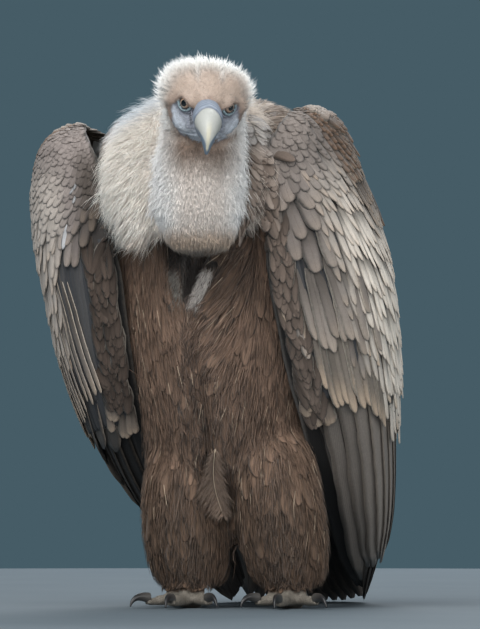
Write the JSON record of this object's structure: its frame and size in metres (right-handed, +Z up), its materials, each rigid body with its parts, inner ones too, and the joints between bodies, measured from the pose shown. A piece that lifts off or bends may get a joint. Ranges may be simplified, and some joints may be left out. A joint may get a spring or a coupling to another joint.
{
  "type": "griffon vulture model",
  "caption": "Life-size still model of a griffon vulture standing hunched on flat feet, head low, with a downy ruff and half-folded drooping wings.",
  "frame": {"origin": "middle of the bounding box, at floor level", "axes": "+Z up; the bird faces about -Y; +X is its left, across its narrowest extent"},
  "size_m": [0.4118, 0.6422, 0.6127],
  "materials": {
    "down": "soft cream and buff down",
    "contour": "brown body feathers with pale shafts",
    "covert": "greyish-buff wing coverts with paler edges",
    "remige": "blackish-brown flight and tail feathers",
    "horn": "smooth ivory horn, darker at the hook",
    "mandible": "dark blue-grey horn",
    "eye": "wet, amber-brown iris",
    "scute": "grey scaled skin",
    "claw": "blackish horn"
  },
  "bodies": {
    "root": {"head": "down", "bill_upper": "horn", "bill_lower": "mandible", "neck": "down", "ruff": "down", "trunk": "contour", "tail": "remige", "eye_left": "eye", "wing_left_coverts": "covert", "wing_left_secondaries": "remige", "wing_left_primaries": "remige", "thigh_left": "contour", "foot_left": "scute", "claw_left_middle": "claw", "claw_left_inner": "claw", "claw_left_outer": "claw", "claw_left_back": "claw", "eye_right": "eye", "wing_right_coverts": "covert", "wing_right_secondaries": "remige", "wing_right_primaries": "remige", "thigh_right": "contour", "foot_right": "scute", "claw_right_middle": "claw", "claw_right_inner": "claw", "claw_right_outer": "claw", "claw_right_back": "claw"}
  },
  "joints": []
}
